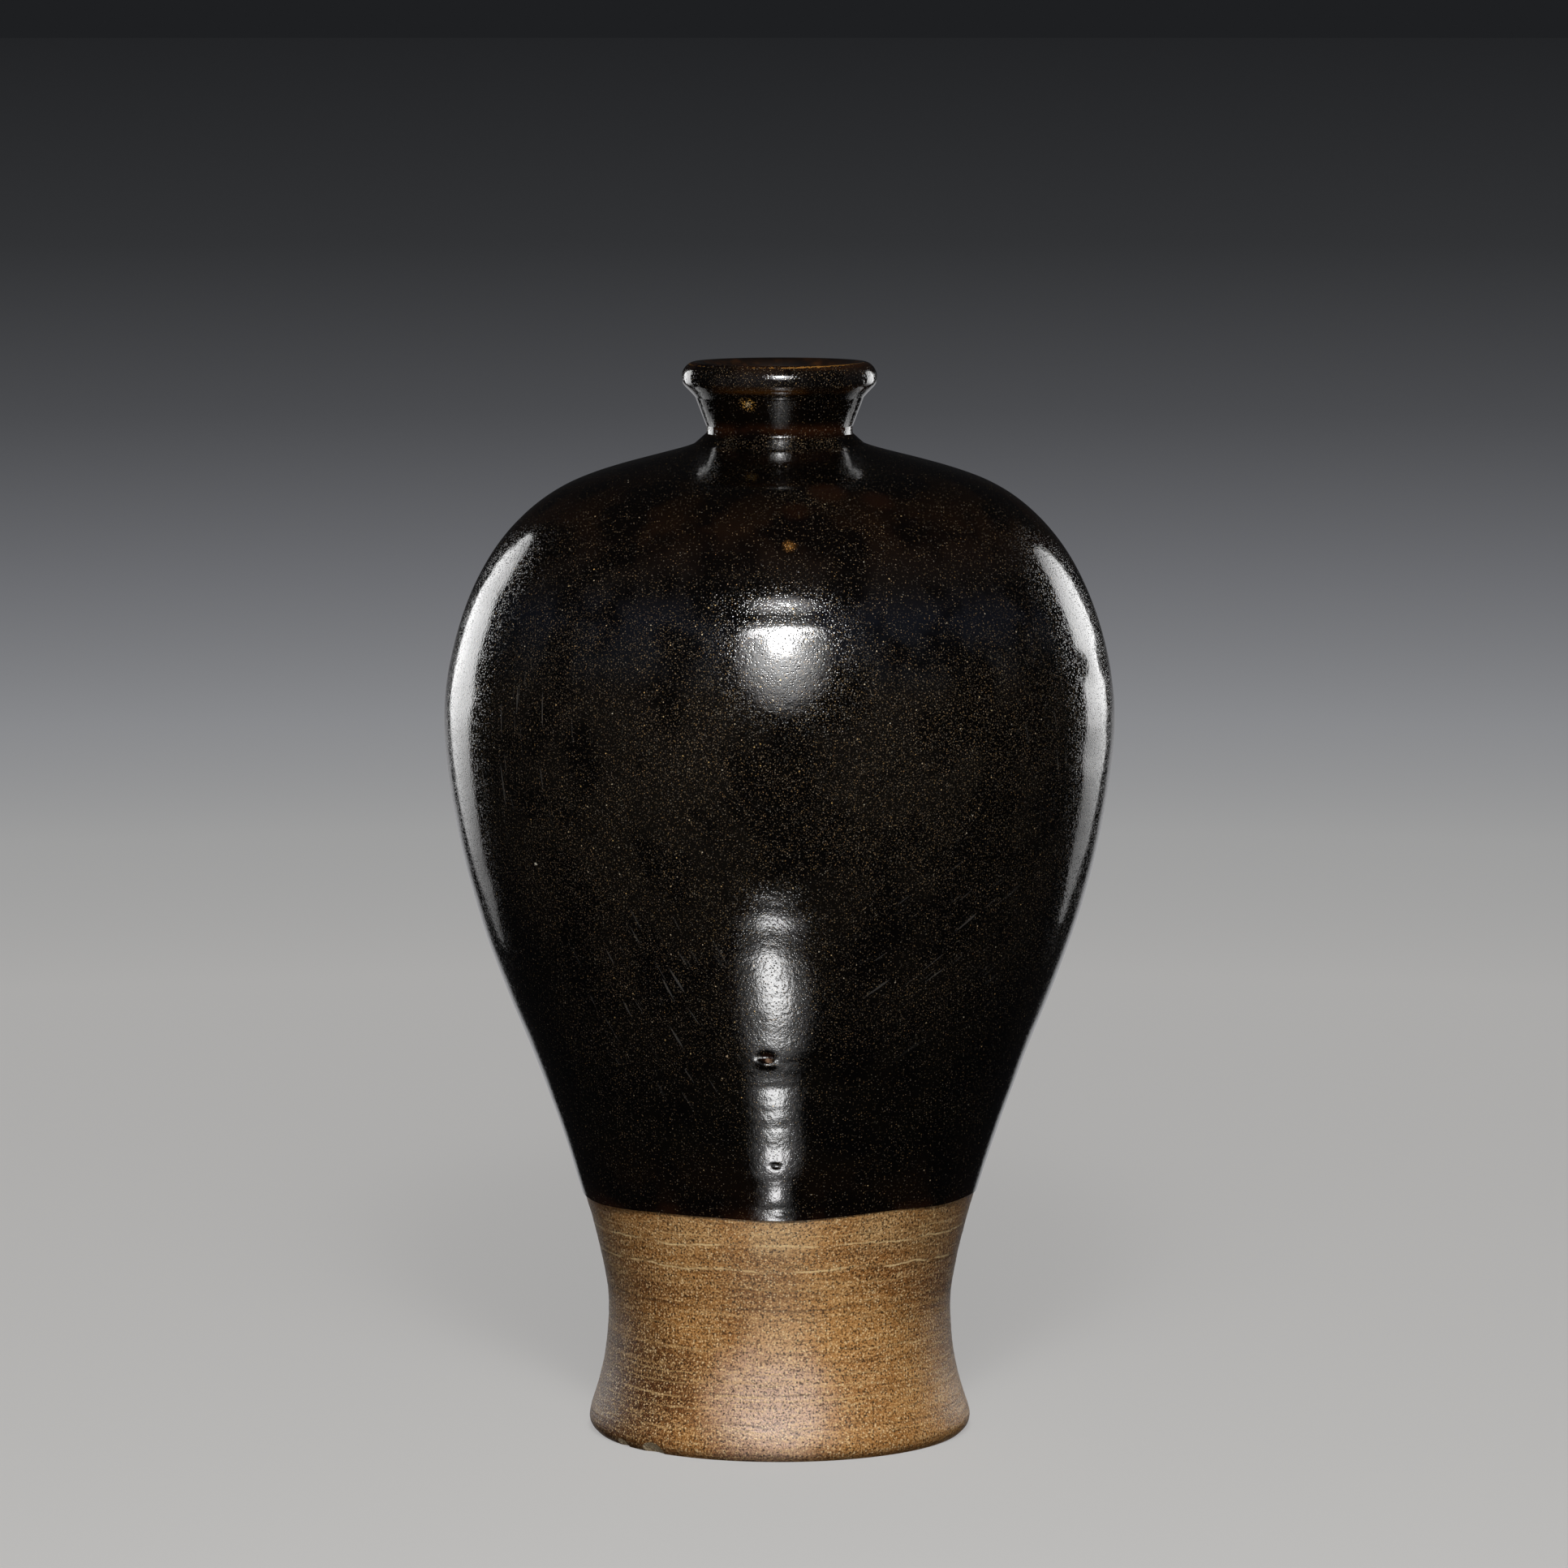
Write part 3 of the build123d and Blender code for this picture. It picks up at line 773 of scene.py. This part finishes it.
# Golden spots, and brown ones where the glaze broke or ran thin, with painted shade and highlight at the
# burst bubble and painted glint in the clusters' pale cores. Bearing, radius and height in the middle, size
# in mm, tint, how much of it, and how far it keeps to the crystals
glazeSpots = [
    (-22.1, 24.9, 318.5, 3.2, "#dba448", 1.0, 1.0), (2.1, 81, 278.9, 2.9, "#b97f3a", 1.0, 0.9),
    (2.2, 82.5, 276.4, 1.6, "#5a3412", 0.7, 0.5), (2.3, 84.5, 273.4, 1.3, "#4a2a10", 0.6, 0.5),
    # the near-white cores of the two golden clusters are the crystals' pale colour and a painted glint
    (-22.1, 24.9, 318.5, 1.5, "#f4dcae", 1.0, 0.9), (2.1, 81, 278.9, 1.2, "#f0dcb4", 1.0, 0.9),
    (-0.7, 62, 91.3, 1.4, "#7a4a1c", 0.9, 0.0), (-0.6, 61.5, 88.8, 1.5, "#7d5a2c", 0.5, 0.0),
    # at 127 mm the dark spot is the burst bubble's brown inside and painted shade under its overhang, and the
    # pale spot below it, at 125.9 mm, is a painted highlight on its lip
    (-0.6, 60.5, 86.0, 1.3, "#5d421f", 0.45, 0.0), (-2.7, 79.6, 127.0, 2.2, "#1c0d07", 0.9, 0.0),
    (-2.4, 79.6, 125.9, 1.2, "#a08068", 0.8, 0.3), (-47.6, 99, 183.3, 0.8, "#d6cfbd", 0.9, 0.0),
    (-11.2, 80, 127.3, 0.6, "#b59c80", 0.9, 0.0), (13, 62, 294, 8, "#1d0e06", 0.7, 0.0),
    (26, 66, 290, 7, "#190c06", 0.7, 0.0), (4, 70, 288, 6, "#1a0c05", 0.6, 0.0),
]
glazeTear = 2.4  # mm by which their edges are torn
torn = addNode(
    ironGlaze, "ShaderNodeTexNoise", {"Scale": 1 / (1.2 * mm), "Detail": 3.0}, {"Vector": place},
).outputs["Color"]
tornPlace = addNode(
    ironGlaze, "ShaderNodeVectorMath", {1: (glazeTear * mm,) * 3}, {0: torn, 2: place},
    operation="MULTIPLY_ADD",
).outputs[0]
for bearing, radius, level, size, tint, share, dotted in glazeSpots:
    middle = onAxis(bearing, radius, level) + Vector((glazeTear / 2,) * 3) * mm
    cover = coverRound(ironGlaze, tornPlace, middle, size, 0.4, share, "SMOOTHSTEP")
    dots = addNode(
        ironGlaze, "ShaderNodeMapRange", {1: 0.0, 2: 0.6, 3: 1 - dotted, 4: 1.0}, {0: glint},
    ).outputs[0]
    cover = addNode(ironGlaze, "ShaderNodeMath", links={0: cover, 1: dots}, operation="MULTIPLY").outputs[0]
    colour = addNode(
        ironGlaze, "ShaderNodeMix", {7: tint}, {0: cover, 6: colour}, data_type="RGBA",
    ).outputs[2]

# The crest, rubbed down to brown, and a darker brown ring outside it
flat = addNode(
    ironGlaze, "ShaderNodeVectorMath", {1: (1, 1, 0)}, {0: tornPlace}, operation="MULTIPLY",
).outputs[0]
across = addNode(ironGlaze, "ShaderNodeVectorMath", links={0: flat}, operation="LENGTH").outputs["Value"]
crestWear = [  # inner and outer radius, lowest height in mm, tint, how much of it
    (26.4, 27.1, 329.3, "#94672f", 0.8), (27.6, 28.4, 328.6, "#2e1b0c", 0.5),
]
for inner, outer, low, tint, share in crestWear:
    worn = addNode(
        ironGlaze, "ShaderNodeMapRange", {1: 0.30, 2: 0.46, 3: 0.5, 4: share}, {0: patches},
    ).outputs[0]
    for source, limit, way in (
        (across, outer, "LESS_THAN"), (across, inner, "GREATER_THAN"), (height, low, "GREATER_THAN"),
    ):
        within = addNode(ironGlaze, "ShaderNodeMath", {1: limit * mm}, {0: source}, operation=way).outputs[0]
        worn = addNode(
            ironGlaze, "ShaderNodeMath", links={0: worn, 1: within}, operation="MULTIPLY",
        ).outputs[0]
    colour = addNode(ironGlaze, "ShaderNodeMix", {7: tint}, {0: worn, 6: colour}, data_type="RGBA").outputs[2]

# The settled surface and a fine pebbling over it, with open bubbles and pinpricks, which are shallower
# low on the wall, where the glaze ran thicker
glazeSkin = [(1.5, 2.0, 0.034), (0.5, 1.0, 0.010)]  # cell in mm, detail, depth in mm
skin = None
for cell, detail, depth in glazeSkin:
    pattern = addNode(
        ironGlaze, "ShaderNodeTexNoise", {"Scale": 1 / (cell * mm), "Detail": detail}, {"Vector": place},
    ).outputs["Fac"]
    skin = addNode(
        ironGlaze, "ShaderNodeBump", {"Distance": depth * mm},
        {"Height": pattern, "Normal": skin} if skin else {"Height": pattern},
    ).outputs[0]
glazePits = [  # cell and radius in mm, share of cells with one, depth in mm
    (2.6, 0.55, 0.5, 0.034), (0.75, 0.34, 0.45, 0.036), (0.55, 0.26, 0.45, 0.028),
]
calmer = addNode(
    ironGlaze, "ShaderNodeMapRange", {1: 120 * mm, 2: 225 * mm, 3: 0.35, 4: 1.0}, {0: height},
).outputs[0]
for cell, size, share, depth in glazePits:
    away, luck = scatterCells(ironGlaze, place, cell)
    present = addNode(ironGlaze, "ShaderNodeMath", {1: share}, {0: luck[2]}, operation="LESS_THAN").outputs[0]
    hollow = addNode(
        ironGlaze, "ShaderNodeMapRange", {1: size / cell, 2: 0.0}, {0: away}, interpolation_type="SMOOTHSTEP",
    ).outputs[0]
    for other in (present, calmer):
        hollow = addNode(
            ironGlaze, "ShaderNodeMath", links={0: hollow, 1: other}, operation="MULTIPLY",
        ).outputs[0]
    skin = addNode(
        ironGlaze, "ShaderNodeBump", {"Distance": depth * mm}, {"Height": hollow, "Normal": skin},
        invert=True,
    ).outputs[0]

# The golden crystals under the clear top glitter like flakes of metal, each turned its own way
metal = addNode(ironGlaze, "ShaderNodeMath", {1: 0.35}, {0: glint}, operation="MULTIPLY").outputs[0]
facets = addNode(
    ironGlaze, "ShaderNodeTexNoise", {"Scale": 1 / (0.6 * mm), "Detail": 1.0}, {"Vector": place},
).outputs["Fac"]
flaky = addNode(
    ironGlaze, "ShaderNodeBump", {"Distance": 0.06 * mm}, {"Height": facets, "Normal": skin},
).outputs[0]
shader = addNode(
    ironGlaze, "ShaderNodeBsdfPrincipled",
    {"Roughness": 0.30, "IOR": 1.5, "Specular IOR Level": 0.0, "Coat Weight": 1.0, "Coat Roughness": 0.035,
     "Coat IOR": 1.5},
    {"Base Color": colour, "Metallic": metal, "Normal": flaky, "Coat Normal": skin},
)
addNode(ironGlaze, "ShaderNodeOutputMaterial", links={"Surface": shader.outputs[0]})

# Brown lining: the same glaze poured thin, so that the clay's colour comes through in clouds
brownLining = startMaterial("brownLiningGlaze")
place = addNode(brownLining, "ShaderNodeTexCoord").outputs["Object"]
clouds = addNode(
    brownLining, "ShaderNodeTexNoise", {"Scale": 1 / (5 * mm), "Detail": 4.0}, {"Vector": place},
).outputs["Fac"]
colour = addNode(
    brownLining, "ShaderNodeValToRGB", links={0: clouds},
    stops=[(0.38, "#0b0604"), (0.54, "#150b05"), (0.70, "#301b0b")],
).outputs[0]
peel = addNode(
    brownLining, "ShaderNodeTexNoise", {"Scale": 1 / (1.2 * mm), "Detail": 2.0}, {"Vector": place},
).outputs["Fac"]
bumpy = addNode(brownLining, "ShaderNodeBump", {"Distance": 0.04 * mm}, {"Height": peel}).outputs[0]
shader = addNode(
    brownLining, "ShaderNodeBsdfPrincipled",
    {"Roughness": 0.4, "IOR": 1.45, "Coat Weight": 0.6, "Coat Roughness": 0.12, "Coat IOR": 1.5},
    {"Base Color": colour, "Normal": bumpy},
)
addNode(brownLining, "ShaderNodeOutputMaterial", links={"Surface": shader.outputs[0]})
print("materials made")

for piece, material in ((footClay, stoneware), (blackGlaze, ironGlaze), (mouthLining, brownLining)):
    piece.data.materials.clear()
    piece.data.materials.append(material)
for bearing, width, depth, height in foot["chips"]:
    breakFlake(footClay, bearing, width, depth, height, plainClays["brokenStoneware"])
finishPiece(blackGlaze, ["outer_glaze"])
finishPiece(footClay, ["foot_section"])
finishPiece(mouthLining, ["inner_glaze"])
for name, finish in (
    ("shoulder_section", "buriedStoneware"), ("neck_section", "buriedStoneware"),
    ("belly_joint_slip", "jointSlip"), ("neck_joint_slip", "jointSlip"),
):
    cadNodes[name].data.materials.clear()
    cadNodes[name].data.materials.append(plainClays[finish])

# A wide pale floor that darkens into the distance, as a studio's does
deselectAll()
bpy.ops.mesh.primitive_circle_add(vertices=96, radius=90, fill_type="NGON")  # radius in metres
floor = bpy.context.object
floor.name = "floor"
floor.visible_glossy = False  # the glaze mirrors the lamps below the floor's level through it
floor.visible_shadow = False
floorPaint = startMaterial("paleFloor")
place = addNode(floorPaint, "ShaderNodeTexCoord").outputs["Object"]
away = addNode(floorPaint, "ShaderNodeVectorMath", links={0: place}, operation="LENGTH").outputs["Value"]
nearness = addNode(floorPaint, "ShaderNodeMath", {0: 1.0}, {1: away}, operation="DIVIDE").outputs[0]
glow = addNode(  # read at one over the distance in metres
    floorPaint, "ShaderNodeValToRGB", links={0: nearness},
    stops=[(0.0, "#1e1f21"), (0.09, "#303133"), (0.18, "#494a4d"), (0.30, "#6a6b6f"), (0.45, "#87888b"),
           (0.62, "#9b9b9b"), (0.95, "#a7a6a5")],
).outputs[0]
seen = addNode(floorPaint, "ShaderNodeLightPath").outputs["Is Camera Ray"]
colour = addNode(
    floorPaint, "ShaderNodeMix", {6: "#303030", 7: "#6c6b69"}, {0: seen}, data_type="RGBA",
).outputs[2]
shader = addNode(
    floorPaint, "ShaderNodeBsdfPrincipled", {"Roughness": 0.9, "Specular IOR Level": 0.0},
    {"Base Color": colour, "Emission Color": glow, "Emission Strength": seen},
)
addNode(floorPaint, "ShaderNodeOutputMaterial", links={"Surface": shader.outputs[0]})
floor.data.materials.append(floorPaint)

# Soft lamps: the key light with its brighter core and bar, two faint ones below the floor's level for the
# low streak on the glaze, and a strip on each side behind. Each is brightest in the middle of its width and
# at hot of its height. As shares of the lamp, fade says how far from there it stays even, where it has faded
# and what is left of it. weights says which of its two sides count
lamps = {
    "keyBox": {
        "place": (0.027, -1.02, 0.78), "target": (0, 0, 0.24), "size": (0.74, 0.92), "glow": 12.5,
        "hot": 0.5, "fade": (0.0, 0.5, 0.0), "weights": (1, 1, 0), "shape": "ELLIPSE",
    },
    "keyCore": {
        "place": (0.027, -1.06, 0.915), "target": (0, 0, 0.24), "size": (0.28, 0.36), "glow": 90.0,
        "hot": 0.5, "fade": (0.05, 0.5, 0.0), "weights": (1, 1, 0), "shape": "ELLIPSE",
    },
    "keyBar": {
        "place": (0.035, -1.05, 0.995), "target": (0, 0, 0.24), "size": (0.66, 0.09), "glow": 27.0,
        "hot": 0.5, "fade": (0.2, 0.5, 0.0), "weights": (1, 0, 0), "shape": "RECTANGLE",
    },
    "boxMirrored": {
        "place": (-0.06, -1.02, -0.88), "target": (0, 0, 0.13), "size": (0.68, 0.68), "glow": 2.3,
        "hot": 0.5, "fade": (0.0, 0.5, 0.0), "weights": (1, 1, 0), "shape": "ELLIPSE",
    },
    "coreMirrored": {
        "place": (-0.06, -1.044, -0.84), "target": (0, 0, 0.13), "size": (0.31, 0.32), "glow": 17.5,
        "hot": 0.5, "fade": (0.12, 0.5, 0.0), "weights": (1, 1, 0), "shape": "ELLIPSE",
    },
    "leftStrip": {
        "place": (-0.778, 0.919, 0.26), "target": (-0.09, -0.064, 0.26), "size": (0.46, 0.98), "glow": 3.7,
        "hot": 0.64, "fade": (0.08, 0.6, 0.12), "weights": (0, 1, 0), "shape": "ELLIPSE",
    },
    "rightStrip": {
        "place": (0.831, 0.883, 0.26), "target": (0.143, -0.1, 0.26), "size": (0.45, 0.98), "glow": 3.9,
        "hot": 0.62, "fade": (0.08, 0.5, 0.17), "weights": (0, 1, 0), "shape": "ELLIPSE",
    },
}
vaseOnly = bpy.data.collections.new("vaseOnly")  # the lamps behind and below light the vase, not the floor
vaseOnly.objects.link(floor)
vaseOnly.collection_objects[0].light_linking.link_state = "EXCLUDE"
for name, plan in lamps.items():
    start, target = Vector(plan["place"]), Vector(plan["target"])
    aim = (target - start).to_track_quat("-Z", "Y").to_euler()
    bpy.ops.object.light_add(type="AREA", location=start, rotation=aim)
    lamp = bpy.context.object
    lamp.name = name
    lamp.data.shape = plan["shape"]
    lamp.data.size, lamp.data.size_y = plan["size"]
    area = lamp.data.size * lamp.data.size_y * (math.pi / 4 if plan["shape"] == "ELLIPSE" else 1)
    lamp.data.energy = plan["glow"] * math.pi * area  # so that glow is the strength of its face
    lamp.visible_camera = False
    if not name.startswith("key"):
        lamp.light_linking.receiver_collection = vaseOnly
    lamp.data.use_nodes = True
    lamp.data.node_tree.nodes.clear()
    across = addNode(lamp.data, "ShaderNodeNewGeometry").outputs["Parametric"]
    across = addNode(
        lamp.data, "ShaderNodeVectorMath", {1: plan["weights"]}, {0: across}, operation="MULTIPLY",
    ).outputs[0]
    brightest = (0.5 * plan["weights"][0], plan["hot"] * plan["weights"][1], 0.0)
    across = addNode(
        lamp.data, "ShaderNodeVectorMath", {1: brightest}, {0: across}, operation="DISTANCE",
    ).outputs["Value"]
    even, faded, left = plan["fade"]
    fade = addNode(
        lamp.data, "ShaderNodeMapRange", {1: faded, 2: even, 3: left, 4: 1.0}, {0: across},
        interpolation_type="SMOOTHSTEP",
    ).outputs[0]
    shine = addNode(lamp.data, "ShaderNodeEmission", links={"Strength": fade})
    addNode(lamp.data, "ShaderNodeOutputLight", links={"Surface": shine.outputs[0]})

# A dim room, with a paler patch low behind that the grazing sides of the glaze mirror. The camera sees
# one plain dark grey beyond the floor. way points at the patch's middle, edge has the cosines where it
# starts and is full, and it is palest at the first of the heights
patch = {"way": (0, 0.99, -0.14), "edge": (0.93, 0.965), "heights": (-0.20, 0.0)}
world = bpy.data.worlds.new("studio")
bpy.context.scene.world = world
world.use_nodes = True
world.node_tree.nodes.clear()
place = addNode(world, "ShaderNodeTexCoord").outputs["Generated"]
behind = addNode(
    world, "ShaderNodeVectorMath", {1: patch["way"]}, {0: place}, operation="DOT_PRODUCT",
).outputs["Value"]
behind = addNode(
    world, "ShaderNodeMapRange", {1: patch["edge"][0], 2: patch["edge"][1]}, {0: behind},
    interpolation_type="SMOOTHSTEP",
).outputs[0]
level = addNode(world, "ShaderNodeSeparateXYZ", links={0: place}).outputs["Z"]
level = addNode(
    world, "ShaderNodeMapRange", {1: patch["heights"][0], 2: patch["heights"][1]}, {0: level},
).outputs[0]
backdrop = addNode(world, "ShaderNodeValToRGB", links={0: level}, stops=[
    (0.30, "#b6b6b8"), (0.44, "#9f9fa1"), (0.56, "#7f7f81"),
    (0.67, "#5b5b5d"), (0.78, "#373738"), (0.9, "#1b1b1c"),
]).outputs[0]
back = addNode(world, "ShaderNodeMix", {6: "#161617"}, {0: behind, 7: backdrop}, data_type="RGBA").outputs[2]
seen = addNode(world, "ShaderNodeLightPath").outputs["Is Camera Ray"]
colour = addNode(world, "ShaderNodeMix", {7: "#1e1f21"}, {0: seen, 6: back}, data_type="RGBA").outputs[2]
shine = addNode(world, "ShaderNodeBackground", {"Strength": 1.0}, {"Color": colour})
addNode(world, "ShaderNodeOutputWorld", links={"Surface": shine.outputs[0]})

print("stage and lamps set")
